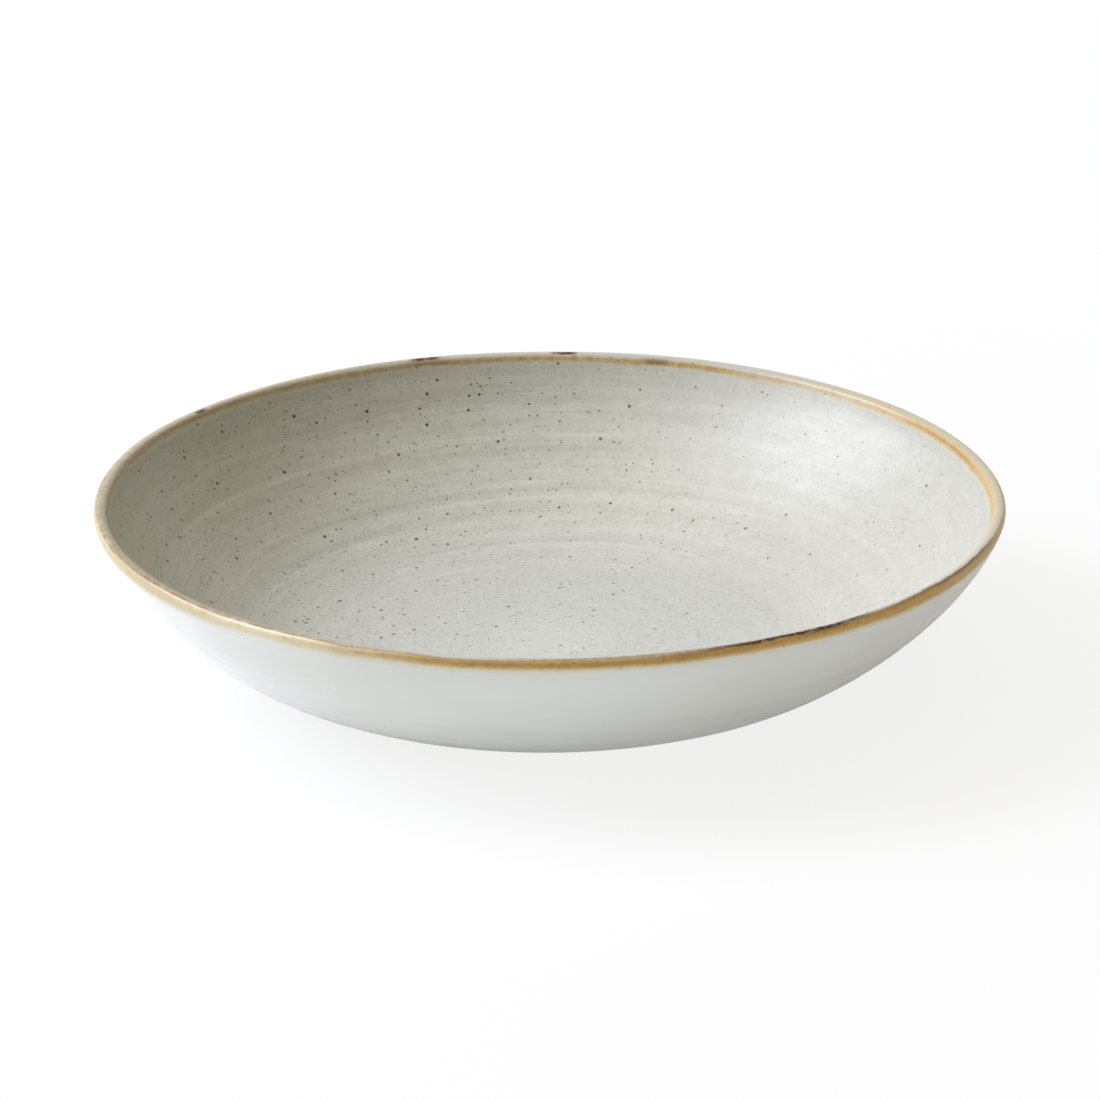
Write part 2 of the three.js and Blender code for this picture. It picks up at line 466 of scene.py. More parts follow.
outside_coat = coat("outside_glaze_coat", *stretch(0, outside_edge), OUTSIDE_STEP)
lip_coat = coat("lip_band_coat", *stretch(outside_edge, inside_edge), LIP_STEP)
inside_coat = coat("inside_glaze_coat", *stretch(inside_edge, len(over_clay) - 1), INSIDE_STEP)
base_coat = coat("base_glaze_coat", recess_line, recess_glaze,
                 np.full(len(recess_line), from_crest[0]), BASE_STEP)
coats = (inside_coat, lip_coat, outside_coat, base_coat)
for piece in coats:
    print(piece.name, len(piece.data.polygons), "faces")

# %% Turn the stoneware body
BODY_STEP = 2.0

under_rows = evenly(recess_line, np.zeros(len(recess_line)), BODY_STEP)[0]
over_rows = evenly(over_clay, from_crest, BODY_STEP)[0]
body_rows = joined(under_rows, foot_line, over_rows)
unmarked = np.zeros(len(body_rows))
clay_piece = turn("stoneware_body", body_rows, unmarked, unmarked, closed=False)[0]
print(clay_piece.name, len(clay_piece.data.polygons), "faces")

# %% [markdown]
# Soft studio light
#
# The picture has one broad, slightly cool light from the left, a weaker one from above and a
# faint card behind. Two low cards near the table, at the front and at the right, throw light at
# the outside of the wall but can't reach over the lip. That is why the outside is bright
# although the inside has a deep shade on its left. Area lamps make soft edges, and a long thin
# one stands for a low card. In the gloss it would show as a line, so it is hidden there.

# %% Lamps
# Each lamp: name, place in metres, width and height, watts, tint
LAMPS = (
    ("left_window", (-1.47, 0.18, 1.14), (1.3, 1.3), 48.6, (0.86, 0.88, 1.0)),
    ("ceiling", (0.0, 0.2, 1.8), (2.0, 2.0), 15.3, (0.97, 0.97, 0.88)),
    ("back_card", (0.1, 1.7, 0.9), (1.6, 1.0), 2.0, (1.0, 1.0, 1.0)),
    ("low_front_card", (-0.45, -1.6, 0.03), (1.6, 0.05), 1.9, (1.0, 0.98, 0.96)),
    ("low_right_card", (1.2, -1.1, 0.03), (1.6, 0.05), 3.4, (1.0, 0.98, 0.99)),
)
LIT_POINT = Vector((0.0, 0.0, 0.02))
THIN_CARD = 0.1


def soft_lamp(name, place, size, power, tint):
    data = bpy.data.lights.new(name, "AREA")
    data.shape = "RECTANGLE"
    data.size, data.size_y = size
    data.energy = power
    data.color = tint
    lamp = bpy.data.objects.new(name, data)
    lamp.location = place
    lamp.visible_glossy = min(size) > THIN_CARD
    lamp.rotation_mode = "QUATERNION"
    lamp.rotation_quaternion = (LIT_POINT - Vector(place)).to_track_quat("-Z", "Y")
    bpy.context.collection.objects.link(lamp)


for lamp in LAMPS:
    soft_lamp(*lamp)
print(len(LAMPS), "lamps:", ", ".join(lamp[0] for lamp in LAMPS))

# %% [markdown]
# Small tools for node trees
#
# Materials in Blender are trees of nodes. Adding them by hand takes three or four lines a node,
# so these helpers add a node and feed its inputs in one line. An input is fed either a plain
# value or the output of another node. An output knows its tree, so of these helpers only `put`
# has to be told where a node goes. Colours are written as the 0 to 255 values of a paint chart,
# and turned into the linear numbers that the renderer works with.

# %% Node helpers


def paint(red, green, blue):
    """A chart colour, 0 to 255, as linear red, green, blue and alpha, by the sRGB curve."""
    levels = [value / 255 for value in (red, green, blue)]
    linear = [v / 12.92 if v <= 0.04045 else ((v + 0.055) / 1.055) ** 2.4 for v in levels]
    return (*linear, 1.0)


def put(tree, kind, feeds=None, **settings):
    """Adds a ShaderNode of a kind. feeds pairs an input, by name or number, with a value or an
    output of another node, and settings are the node's own."""
    node = tree.nodes.new("ShaderNode" + kind)
    for name, value in settings.items():
        setattr(node, name, value)
    for name, value in (feeds or {}).items():
        if isinstance(value, bpy.types.NodeSocket):
            tree.links.new(value, node.inputs[name])
        else:
            node.inputs[name].default_value = value
    return node


def tree_of(*values):
    """The node tree of the first value that is a node's output, which knows its own tree."""
    return next(value.id_data for value in values if isinstance(value, bpy.types.NodeSocket))


def maths(operation, first, second=0.0):
    feeds = {0: first, 1: second}
    return put(tree_of(first, second), "Math", feeds, operation=operation).outputs[0]


def times(first, *others):
    for other in others:
        first = maths("MULTIPLY", first, other)
    return first


def plus(first, *others):
    for other in others:
        first = maths("ADD", first, other)
    return first


def ease(value, start, end, low=0.0, high=1.0):
    """low to high as a value goes from start to end, eased at both ends."""
    feeds = {"Value": value, "From Min": start, "From Max": end, "To Min": low, "To Max": high}
    tree = tree_of(value)
    return put(tree, "MapRange", feeds, interpolation_type="SMOOTHSTEP").outputs[0]


def blend(share, first, second):
    """The first colour where share is 0, the second where it is 1."""
    feeds = {0: share, 6: first, 7: second}
    return put(tree_of(share), "Mix", feeds, data_type="RGBA").outputs[2]


def cloud(place, scale, detail=2.0, roughness=0.5):
    """Soft noise from about 0.3 to 0.7. scale is in clouds per unit of place."""
    feeds = {"Vector": place, "Scale": scale, "Detail": detail, "Roughness": roughness}
    return put(tree_of(place), "TexNoise", feeds).outputs[0]


def patches(place, scale, detail, roughness, *change):
    """A cloud, with its noise eased from one value to another."""
    return ease(cloud(place, scale, detail, roughness), *change)


def vector_maths(operation, *values, **feeds):
    feeds.update(enumerate(values))
    node = put(tree_of(*values), "VectorMath", feeds, operation=operation)
    return node.outputs["Value" if operation in ("DOT_PRODUCT", "LENGTH") else "Vector"]


def new_group(name, inputs, outputs):
    """An empty node group. inputs and outputs pair a socket's name with its kind."""
    group = bpy.data.node_groups.new(name, "ShaderNodeTree")
    for side, sockets in (("INPUT", inputs), ("OUTPUT", outputs)):
        for title, kind in sockets.items():
            group.interface.new_socket(name=title, in_out=side, socket_type="NodeSocket" + kind)
    given = group.nodes.new("NodeGroupInput").outputs
    made = group.nodes.new("NodeGroupOutput").inputs
    return group, given, made


def use(group, feeds):
    return put(tree_of(*feeds.values()), "Group", feeds, node_tree=group).outputs


print("mid grey on a chart is", round(paint(128, 128, 128)[0], 2), "in linear light")

# %% [markdown]
# A room and a table
#
# To the camera and in the gloss, the room is plain white. To everything else it is a dim warm
# light, so that the white behind the plate doesn't drown the lamps. The Light Path node tells
# the two apart. The table is shown in the same way: it glows white, and close to the plate it
# mixes in a share of matt white, which carries the shadow. In the gloss that share is larger, so
# that the wall mirrors the shade it stands in. As a source of light the table is matt, with a
# faint glow that lifts the underside of the wall.

# %% World and table
WHITE = (1.0, 1.0, 1.0, 1.0)
WORLD_STRENGTH = 0.08
WORLD_TINT = (1.0, 0.76, 0.36, 1.0)
TABLE_REACH = 4.0
# Share of matt white close to the plate, as seen and in the gloss, and where it fades, in metres
TABLE_SHADING = 0.18
GLOSS_SHADING = 0.8
SHADOW_NEAR = 0.16
SHADOW_FAR = 0.42
PAPER_WHITE = (0.95, 0.95, 0.95, 1.0)
TABLE_BOUNCE = (0.72, 0.72, 0.72, 1.0)
TABLE_GLOW = 0.16


def seen_rays(tree):
    """Masks of what the camera sees in all, and of what it sees only in gloss or glass."""
    path = put(tree, "LightPath").outputs
    reflected = maths("MAXIMUM", path["Is Glossy Ray"], path["Is Transmission Ray"])
    return maths("MAXIMUM", path["Is Camera Ray"], reflected), reflected


def pale_room():
    world = bpy.data.worlds.new("pale_room")
    world.use_nodes = True
    tree = world.node_tree
    seen = seen_rays(tree)[0]
    backdrop = tree.nodes["Background"].inputs
    tree.links.new(blend(seen, WORLD_TINT, WHITE), backdrop["Color"])
    tree.links.new(ease(seen, 0.0, 1.0, WORLD_STRENGTH, 1.0), backdrop["Strength"])
    bpy.context.scene.world = world


def table_finish():
    material = bpy.data.materials.new("white_table")
    material.use_nodes = True
    tree = material.node_tree
    tree.nodes.clear()
    seen, reflected = seen_rays(tree)
    away = vector_maths("LENGTH", put(tree, "TexCoord").outputs["Object"])
    near_share = ease(reflected, 0.0, 1.0, TABLE_SHADING, GLOSS_SHADING)
    shaded = ease(away, SHADOW_NEAR, SHADOW_FAR, near_share, 0.0)
    paper = put(tree, "BsdfDiffuse", {"Color": PAPER_WHITE}).outputs[0]
    glow = put(tree, "Emission").outputs[0]
    shown = put(tree, "MixShader", {0: shaded, 1: glow, 2: paper}).outputs[0]
    bounce = put(tree, "BsdfDiffuse", {"Color": TABLE_BOUNCE}).outputs[0]
    faint_glow = put(tree, "Emission", {"Strength": TABLE_GLOW}).outputs[0]
    lit = put(tree, "AddShader", {0: bounce, 1: faint_glow}).outputs[0]
    chosen = put(tree, "MixShader", {0: seen, 1: lit, 2: shown}).outputs[0]
    put(tree, "OutputMaterial", {"Surface": chosen})
    return material


def white_table():
    reach = TABLE_REACH
    mesh = bpy.data.meshes.new("table_top")
    corners = [(-reach, -reach, 0), (reach, -reach, 0), (reach, reach, 0), (-reach, reach, 0)]
    mesh.from_pydata(corners, [], [(0, 1, 2, 3)])
    mesh.materials.append(table_finish())
    table = bpy.data.objects.new("table_top", mesh)
    bpy.context.collection.objects.link(table)


pale_room()
white_table()
bpy.context.scene.view_settings.view_transform = "Standard"
print("a pale room at", WORLD_STRENGTH, "and a table", 2 * TABLE_REACH, "m wide")

# %% [markdown]
# Specks
#
# Iron in the clay burns through the glaze as small dark dots. A Voronoi texture gives every
# cell of space one random point, and the distance to it. A dot is where that distance is less
# than a radius. The cell's random colour decides which cells have a dot and how large it is.
# The clay, both glazes and the lip all need dots, so this is a node group.

# %% Speck group
# The smallest dot as a share of the largest, and the solid core as a share of a dot
SMALLEST_SPECK = 0.45
SPECK_CORE = 0.65


def speck_group():
    group, given, made = new_group(
        "Iron specks",
        {"Place": "Vector", "Spacing": "Float", "Size": "Float", "Share": "Float"},
        {"Specks": "Float"},
    )
    shrink = maths("DIVIDE", 1.0, given["Spacing"])
    shrunk = vector_maths("SCALE", given["Place"], Scale=shrink)
    cells = put(group, "TexVoronoi", {"Vector": shrunk, "Scale": 1.0}).outputs
    chance = put(group, "SeparateColor", {0: cells["Color"]}).outputs
    distance = times(cells["Distance"], given["Spacing"])
    chosen = maths("LESS_THAN", chance[0], given["Share"])
    size = ease(chance[1], 0.0, 1.0, SMALLEST_SPECK, 1.0)
    radius = times(given["Size"], size, chosen)
    dots = ease(distance, radius, times(radius, SPECK_CORE))
    group.links.new(times(dots, chosen), made["Specks"])
    return group


SPECKS = speck_group()


def specks(place, spacing, size, share):
    """Dots of up to a size in mm, a spacing in mm apart, at a share of the places."""
    feeds = {"Place": place, "Spacing": spacing, "Size": size, "Share": share}
    return use(SPECKS, feeds)["Specks"]


print(SPECKS.name, "has sockets", [item.name for item in SPECKS.interface.items_tree])

# %% [markdown]
# Turned bands
#
# The brush went round while the plate turned, so its marks are long along the turn and narrow
# across it. Ordinary noise becomes that by squeezing its space: one axis is the distance from
# the crest, divided by the width of a band, and the other two are the direction from the axis,
# a point on a circle, so that the noise meets itself after a full turn.

# %% Band group
# Clouds per band, detail, roughness, and the noise where a band starts and is full
BAND_NOISE = (1.0, 1.0, 0.5, 0.25, 0.75)


def band_group():
    group, given, made = new_group(
        "Turned bands",
        {"From Crest": "Float", "Round": "Vector", "Width": "Float", "Breaks": "Float"},
        {"Band": "Float"},
    )
    across = maths("DIVIDE", given["From Crest"], given["Width"])
    circle = vector_maths("SCALE", given["Round"], Scale=given["Breaks"])
    around = put(group, "SeparateXYZ", {0: circle}).outputs
    place = put(group, "CombineXYZ", {0: across, 1: around[0], 2: around[1]}).outputs[0]
    group.links.new(patches(place, *BAND_NOISE), made["Band"])
    return group


BANDS = band_group()


def bands(along, round_way, width, breaks):
    """Bands a width in mm, broken up more or less along the turn."""
    feeds = {"From Crest": along, "Round": round_way, "Width": width, "Breaks": breaks}
    return use(BANDS, feeds)["Band"]


print(BANDS.name, "puts out a value from 0 to 1")

# %% [markdown]
# Strokes of the brush
#
# The inside is a thin grey slip brushed on the turning plate under a clear glaze. Broad and
# narrow bands are the same group at two widths, and both are faint. A few strokes stand out on
# the real plate, where the brush was full or nearly dry. They are listed by their distance from
# the middle, and each fades out along the turn. The brush swayed as it went round, so the rings
# are not quite circles, and on the right it left hardly a mark.

# %% Brush marks
# Each stroke: mm from the middle, mm wide, how much paler, direction and spread in degrees
STROKES = (
    (126.0, 1.6, 0.14, 148, 24),
    (116.0, 1.5, 0.34, 122, 58),
    (111.5, 1.6, -0.18, 80, 40),
    (104.0, 1.4, -0.14, 38, 36),
    (100.0, 1.8, 0.20, 90, 40),
    (97.0, 1.5, -0.26, 105, 75),
    (93.6, 1.5, 0.18, 112, 40),
    (89.2, 3.0, -0.30, 92, 105),
    (85.5, 2.2, 0.22, 152, 34),
    (75.0, 1.5, -0.22, 85, 60),
    (73.0, 1.2, 0.24, 75, 50),
    (69.5, 1.8, 0.20, 130, 52),
    (60.5, 2.0, 0.16, 82, 44),
    (53.0, 2.6, -0.20, 80, 75),
    (108.0, 2.2, 0.24, 250, 60),
    (92.0, 2.6, -0.26, 300, 70),
    (80.0, 1.8, 0.20, 220, 50),
    (63.0, 2.4, -0.18, 265, 80),
)
# Bands: mm wide and breaks along the turn, and how much paler they are at most
BROAD_BANDS, BROAD_PALER = (3.4, 1.3), 0.2
NARROW_BANDS, NARROW_PALER = (1.1, 4.0), 0.16
# How much paler the brush leaves the slip on the whole
USUALLY_PALER = 0.18
# How much of a stroke is left between the narrow bands, and on them
DRY_STROKE = (0.25, 1.1)
# Where the brush left hardly a mark: direction and spread in degrees, share that is missing
QUIET_SIDE = (8, 78, 0.55)
# The sway of the brush: direction of the widest place, mm once and mm twice round
SWAY = (40, 1.3, 1.0)
# Sway and strength of the brush: start and end in mm from the middle, and the values there
SWAY_GROWS = (40.0, 70.0, 0.0, 1.0)
BRUSH_GROWS = (25.0, 75.0, 0.6, 1.25)
# Share of a spread that has the full strength
FULL_SHARE = 0.3


def direction(degrees):
    return (math.cos(math.radians(degrees)), math.sin(math.radians(degrees)), 0.0)


def toward(round_way, degrees, spread, strength=1.0):
    """A strength in one direction, fading to 0 at a spread of degrees to each side."""
    facing = vector_maths("DOT_PRODUCT", round_way, direction(degrees))
    edge, full = (math.cos(math.radians(share * spread)) for share in (1.0, FULL_SHARE))
    return ease(facing, edge, full, 0.0, strength)


def from_middle(given, start, end, low, high):
    """low to high from one distance to another, both in mm from the middle."""
    return ease(given["From Crest"], start - MIDDLE, end - MIDDLE, low, high)


def swayed(given):
    """The distance from the crest as the swaying brush had it."""
    widest, once, twice = SWAY
    facing = vector_maths("DOT_PRODUCT", given["Round"], direction(widest))
    sway = plus(times(facing, facing, -2 * twice), times(facing, -once), twice)
    sway = times(sway, from_middle(given, *SWAY_GROWS))
    return plus(given["From Crest"], sway)


def brush_marks(given):
    """How much paler the brush leaves the slip, and the narrow bands alone."""
    along, round_way = swayed(given), given["Round"]
    broad = bands(along, round_way, *BROAD_BANDS)
    narrow = bands(along, round_way, *NARROW_BANDS)
    marks = plus(times(broad, BROAD_PALER), times(narrow, NARROW_PALER))
    dry = ease(narrow, 0.0, 1.0, *DRY_STROKE)
    for distance, width, paler, degrees, spread in STROKES:
        off = maths("ABSOLUTE", plus(along, MIDDLE - distance))
        stroke = ease(off, width, 0.0, 0.0, paler)
        stroke = times(stroke, toward(round_way, degrees, spread), dry)
        marks = plus(marks, stroke)
    loud = maths("SUBTRACT", 1.0, toward(round_way, *QUIET_SIDE))
    loud = times(loud, from_middle(given, *BRUSH_GROWS))
    return times(plus(marks, -USUALLY_PALER), loud), narrow


print(len(STROKES), "strokes, from", min(stroke[0] for stroke in STROKES), "to",
      max(stroke[0] for stroke in STROKES), "mm from the middle")

# %% [markdown]
# Grey glaze
#
# Over the brush marks the slip has a fine grain, and it is paler on the wall at the back. The
# glaze lies thicker toward the floor and on the right, which makes both a little cooler. On the
# left, where the inside wall faces away from the window, a warmer and darker tone is painted in
# as shade. Specks of four sizes lie over it all, more on the left than on the right, and they do
# most of the work: on the floor, seen at a low angle, the smallest ones read as fine dashes, with
# soft smudges of iron between them.

# %% Grey glaze group
PALE_SLIP = paint(206, 205, 193)
THIN_SLIP = paint(168, 166, 150)
POOLED_GLAZE = paint(194, 196, 196)
# Painted shade: a warm, darker tone for the left of the inside, where the wall is in shade
WARM_PAINTED_SHADE = paint(160, 155, 130)
IRON_SPECK = paint(56, 50, 42)
SMUDGE = paint(120, 116, 106)
SLIP_TONE = 0.44
# Each layer of specks: mm apart, mm radius, share of places that have one, how dark
SPECK_LAYERS = ((3.0, 0.68, 0.23, 1.0), (1.9, 0.45, 0.30, 0.8), (1.15, 0.30, 0.30, 0.65),
                (0.95, 0.23, 0.22, 0.5))
# Where the slip is paler on the wall: direction and spread in degrees, how much paler
PALE_BACK = (92, 56, 0.2)
# From the middle to the lip: start and end in mm from the middle, and the values there
BACK_PALES = (45.0, 75.0, 0.0, 1.0)
MIDDLE_PALES = (26.0, 8.0, 0.0, 0.3)
GRAIN_COARSENS = (75.0, 40.0, 1.0, 1.8)
GLAZE_THICKENS = (118.0, 50.0, 0.0, 0.46)
SMUDGES_GROW = (95.0, 60.0, 0.35, 1.0)
# From left to right: start and end in mm from the axis, and the values there
RIGHT_THICKENS = (-20.0, 70.0, 0.0, 0.2)
# Painted warm shade grows toward the left, where the inside wall faces away from the window
LEFT_PAINTED_SHADE = (-40.0, -110.0, 0.0, 0.3)
SPECKS_THIN_OUT = (-90.0, 90.0, 1.9, 0.5)
SPECKS_PALE = (-60.0, 60.0, 1.0, 0.8)
# Patches: clouds per mm, detail, roughness, start and end of the noise, and the values there
GRAIN = (0.7, 3.0, 0.75, 0.3, 0.7, -0.13, 0.13)
MOTTLE = (0.22, 2.0, 0.5, 0.3, 0.7, -0.02, 0.14)
SMUDGES = (0.75, 2.0, 0.6, 0.55, 0.70, 0.0, 0.3)
CROWDS = (0.04, 2.0, 0.5, 0.35, 0.65, 0.7, 1.2)
# The skin of the glaze: clouds per mm, and the share of the narrow bands
SKIN_CLOUDS, SKIN_BANDS = 0.3, 0.25
# Sockets of the glazes: where a point is, and what a glaze gives there
WHERE = {"Place": "Vector", "From Crest": "Float", "Round": "Vector"}
GLAZE_GIVES = {"Color": "Color", "Height": "Float"}


def grey_glaze_group():
    group, given, made = new_group("Grey glaze", WHERE, GLAZE_GIVES)
    place = given["Place"]
    across = put(group, "SeparateXYZ", {0: place}).outputs[0]

    def outward(change):
        return from_middle(given, *change)

    def rightward(change):
        return ease(across, *change)

    brushed, narrow = brush_marks(given)
    grain = times(patches(place, *GRAIN), outward(GRAIN_COARSENS))
    mottle = patches(place, *MOTTLE)
    back = times(toward(given["Round"], *PALE_BACK), outward(BACK_PALES))
    tone = plus(brushed, SLIP_TONE, grain, mottle, outward(MIDDLE_PALES), back)
    slip = blend(tone, THIN_SLIP, PALE_SLIP)
    pooled = maths("MAXIMUM", outward(GLAZE_THICKENS), rightward(RIGHT_THICKENS))
    slip = blend(pooled, slip, POOLED_GLAZE)
    # Painted shade: the slip turns warmer and darker toward the shaded left
    slip = blend(rightward(LEFT_PAINTED_SHADE), slip, WARM_PAINTED_SHADE)
    smudged = times(patches(place, *SMUDGES), outward(SMUDGES_GROW))
    slip = blend(smudged, slip, SMUDGE)
    crowd = times(rightward(SPECKS_THIN_OUT), patches(place, *CROWDS))
    dark = rightward(SPECKS_PALE)
    for spacing, size, share, strength in SPECK_LAYERS:
        dots = specks(place, spacing, size, times(crowd, share))
        slip = blend(times(dots, dark, strength), slip, IRON_SPECK)
    height = plus(cloud(place, SKIN_CLOUDS), times(narrow, SKIN_BANDS))
    group.links.new(slip, made["Color"])
    group.links.new(height, made["Height"])
    return group


GREY_GLAZE = grey_glaze_group()
print(GREY_GLAZE.name, "has", len(GREY_GLAZE.nodes), "nodes")

# %% [markdown]
# White glaze
#
# The outside is a cool white glaze, dipped and not brushed. It is nearly even: a slow drift in
# thickness, a very faint trace of the turning below, a few pinholes of iron, and one thin drip
# that ran down the wall on the left of the front. The drip is a low ridge in the bump height:
# a narrow range of direction, over a range of the distance from the crest.

# %% White glaze group
DIPPED_WHITE = paint(229, 232, 227)
THIN_WHITE = paint(224, 227, 221)
# The drift in clouds per mm and detail, the bands as above, and the tones of thin and full white
DRIFT = (0.03, 3.0)
TURNING, TURNING_SHOWS = (3.0, 1.5), 0.15
WHITE_TONES = (0.3, 0.8)
# Pinholes: mm apart, mm radius, share of places that have one, and how dark they are
PINHOLES, PINHOLES_DARK = (9.0, 0.2, 0.1), 0.3
# The skin of the glaze: clouds per mm and detail, broad and fine, and the share of the fine ones
BROAD_SKIN, FINE_SKIN, FINE_SHARE = (0.12, 1.0), (0.6, 2.0), 0.15
# The drip: its direction and spread, how far it slants per mm of fall, and its mm below the crest
DRIP_DIRECTION, DRIP_SPREAD = 238.4, 20
DRIP_SLANT = 0.0012
DRIP_TOP, DRIP_MIDDLE, DRIP_FOOT = 14.0, 25.0, 38.0
DRIP_FADES = 4.0
DRIP_HALF_WIDTH, DRIP_HEIGHT = 0.007, 3.0


def white_glaze_group():
    group, given, made = new_group("White glaze", WHERE, GLAZE_GIVES)
    place, round_way, fall = given["Place"], given["Round"], given["From Crest"]
    turned = times(bands(fall, round_way, *TURNING), TURNING_SHOWS)
    tone = plus(cloud(place, *DRIFT), turned)
    white = blend(ease(tone, *WHITE_TONES), THIN_WHITE, DIPPED_WHITE)
    pins = times(specks(place, *PINHOLES), PINHOLES_DARK)
    white = blend(pins, white, IRON_SPECK)
    fine_skin = times(cloud(place, *FINE_SKIN), FINE_SHARE)
    slant = times(plus(fall, -DRIP_MIDDLE), DRIP_SLANT)
    beside = vector_maths("DOT_PRODUCT", round_way, direction(DRIP_DIRECTION + 90))
    beside = maths("ABSOLUTE", maths("SUBTRACT", beside, slant))
    drip = times(
        ease(beside, DRIP_HALF_WIDTH, 0.0, 0.0, DRIP_HEIGHT),
        toward(round_way, DRIP_DIRECTION, DRIP_SPREAD),
        ease(fall, DRIP_TOP, DRIP_TOP + DRIP_FADES),
        ease(fall, DRIP_FOOT, DRIP_FOOT - DRIP_FADES),
    )
    height = plus(cloud(place, *BROAD_SKIN), fine_skin, drip)
    group.links.new(white, made["Color"])
    group.links.new(height, made["Height"])
    return group


WHITE_GLAZE = white_glaze_group()
print(WHITE_GLAZE.name, "has", len(WHITE_GLAZE.nodes), "nodes")

# %% [markdown]
# The stain on the lip
#
# An iron stain is brushed on the lip, and the glaze over it melts away from the sharp crest. So
# the lip reads as stripes: white, a pale yellow edge, gold, a worn beige crest, a second gold
# line and then the grey inside. Each stripe is a range of the distance from the crest, and
# noise moves that distance a little so that no edge is ruled.
#
# The stripes change along the way round. On the left the gold was wiped thin to a cream halo.
# There the crest's tan is partly its own colour and partly painted shade, and the inner side of
# the crest, turned away from the window, is painted dark olive as shade. At the right front the
# gold runs wide under a pale crest, and on the right the crest is cream. Rusty and burnt marks
# lie where the stain was thick.
# Each of these is a direction with a spread. The glaze below comes in as a colour and goes out
# stained, so the same group gives matching edges on three coats.

# %% Stains, stripes and marks
GOLD_STAIN = paint(194, 153, 70)
HONEY_STAIN = paint(172, 130, 55)
BROWN_STAIN = paint(66, 38, 14)
INNER_BROWN = paint(166, 140, 96)
DULL_CREST = paint(182, 177, 164)
PALE_CREST = paint(212, 210, 200)
# Tan of the crest: its own colour at the right front, and partly painted shade on the left side
TAN_AND_SHADE_CREST = paint(148, 131, 84)
CREAM_CREST = paint(188, 175, 140)
YELLOW_EDGE = paint(222, 206, 156)
CREAM_HALO = paint(190, 174, 130)
# Painted shade: dark olive for the inner side of the crest on the left, which faces away from the
# window
OLIVE_PAINTED_SHADE = paint(112, 100, 74)
RUST_STAIN = paint(126, 80, 34)
# Lighter gold, partly the band's own colour and partly painted highlight
GOLD_WITH_PAINTED_HIGHLIGHT = paint(207, 164, 78)
# Each stripe: start, full, last full and end, in mm from the crest
YELLOW_OUTSIDE = (1.2, 2.2, 3.8, 5.6)
CREAM_OUTSIDE = (1.0, 2.2, 3.6, 8.0)
YELLOW_INSIDE = (-4.8, -3.4, -2.0, -1.2)
WORN_CREST = (-2.2, -1.3, 1.0, 1.8)
TAN_AND_SHADE_STRIPE = (-2.6, -1.6, 1.1, 2.0)
GOLD_OUTSIDE = (0.4, 1.9, 2.5, 4.4)
GOLD_INSIDE = (-4.3, -3.1, -2.4, -1.2)
# The stripe of painted olive shade, on the inner side of the crest
PAINTED_SHADE_STRIPE = (-3.4, -2.4, -0.4, 0.8)
BURNT_LINE = (0.6, 1.0, 1.2, 1.8)
FLECKED = (-4.6, -3.4, 3.6, 4.8)
# How strong the stripes are that run all round
YELLOW_OUTSIDE_SHARE, YELLOW_INSIDE_SHARE = 0.7, 0.4
WORN_SHARE = 0.85
GOLD_OUTSIDE_SHARE, GOLD_INSIDE_SHARE = 0.95, 0.8
FLECK_SHARE = 0.55
# Where a stripe or a crest has its place: direction and spread in degrees, strength
CREAM_PLACE = (196, 36, 0.85)
PALE_CREST_PLACE = (332, 34, 0.85)
CREAM_CREST_PLACE = (15, 50, 0.8)
# The tan at 283 degrees is the crest's own; at 210 and 143, on the left, it is partly painted
# shade
TAN_AND_SHADE_PLACES = ((210, 50, 0.95), (283, 24, 0.95), (143, 50, 0.65))
# Where the painted olive shade lies: on the left, where the crest's inner side is in shade
PAINTED_SHADE_PLACE = (210, 34, 0.6)
BROWN_INSIDE = (165, 100)
# Where the gold is thin: direction and spread in degrees, share taken off
WIPED_OUTSIDE = (212, 47, 0.88)
WIPED_INSIDE = (170, 75, 0.2)
# Painted highlight: the inner gold line at the right back is paler where the window's highlight
# falls
HIGHLIGHT_ON_INNER_GOLD = (46, 20, 0.5)
# Where the outer gold runs wide and where the inner line climbs: direction and spread, mm
GOLD_RUNS_WIDE = (337, 32, 1.5)
INNER_LINE_CLIMBS = ((168, 55, 0.9), (222, 45, 1.5), (98, 20, 0.4))
# Each mark: direction and spread in degrees, mm from the crest, mm half width, strength
# Lighter gold marks at the right front and right back: partly the stain's own colour, partly
# painted highlight
GOLD_HIGHLIGHT_MARKS = ((318, 34, 2.9, 1.7, 0.5), (14, 34, -2.4, 1.5, 0.45))
RUSTY_MARKS = (
    (300, 18, 1.1, 1.1, 0.25),
    (281, 16, 0.2, 1.6, 0.35),
    (330, 20, 1.6, 0.9, 0.2),
    (150, 26, -1.6, 1.1, 0.4),
    (214, 16, 1.2, 1.4, 0.25),
    (107, 3.5, -2.0, 1.2, 0.4),
    (75, 3.0, -2.2, 1.6, 0.4),
)
BURNT_MARKS = (
    (301, 15, 0.85, 0.95, 1.0),
    (305.5, 5, 1.6, 0.8, 0.25),
    (330, 18, 1.3, 0.5, 0.5),
    (255, 24, 1.2, 0.5, 0.35),
    (107, 2.6, -0.5, 1.2, 1.0),
    (87.7, 2.2, -0.6, 1.1, 1.0),
    (74.8, 1.8, -2.7, 1.2, 0.45),
    (144, 1.4, -0.5, 1.2, 0.8),
    (22, 14, -2.4, 0.8, 0.3),
)
# Noise that moves the edges: clouds per mm, mm from one side to the other
WANDERING, RAGGED = (0.06, 1.6), (0.9, 0.8)
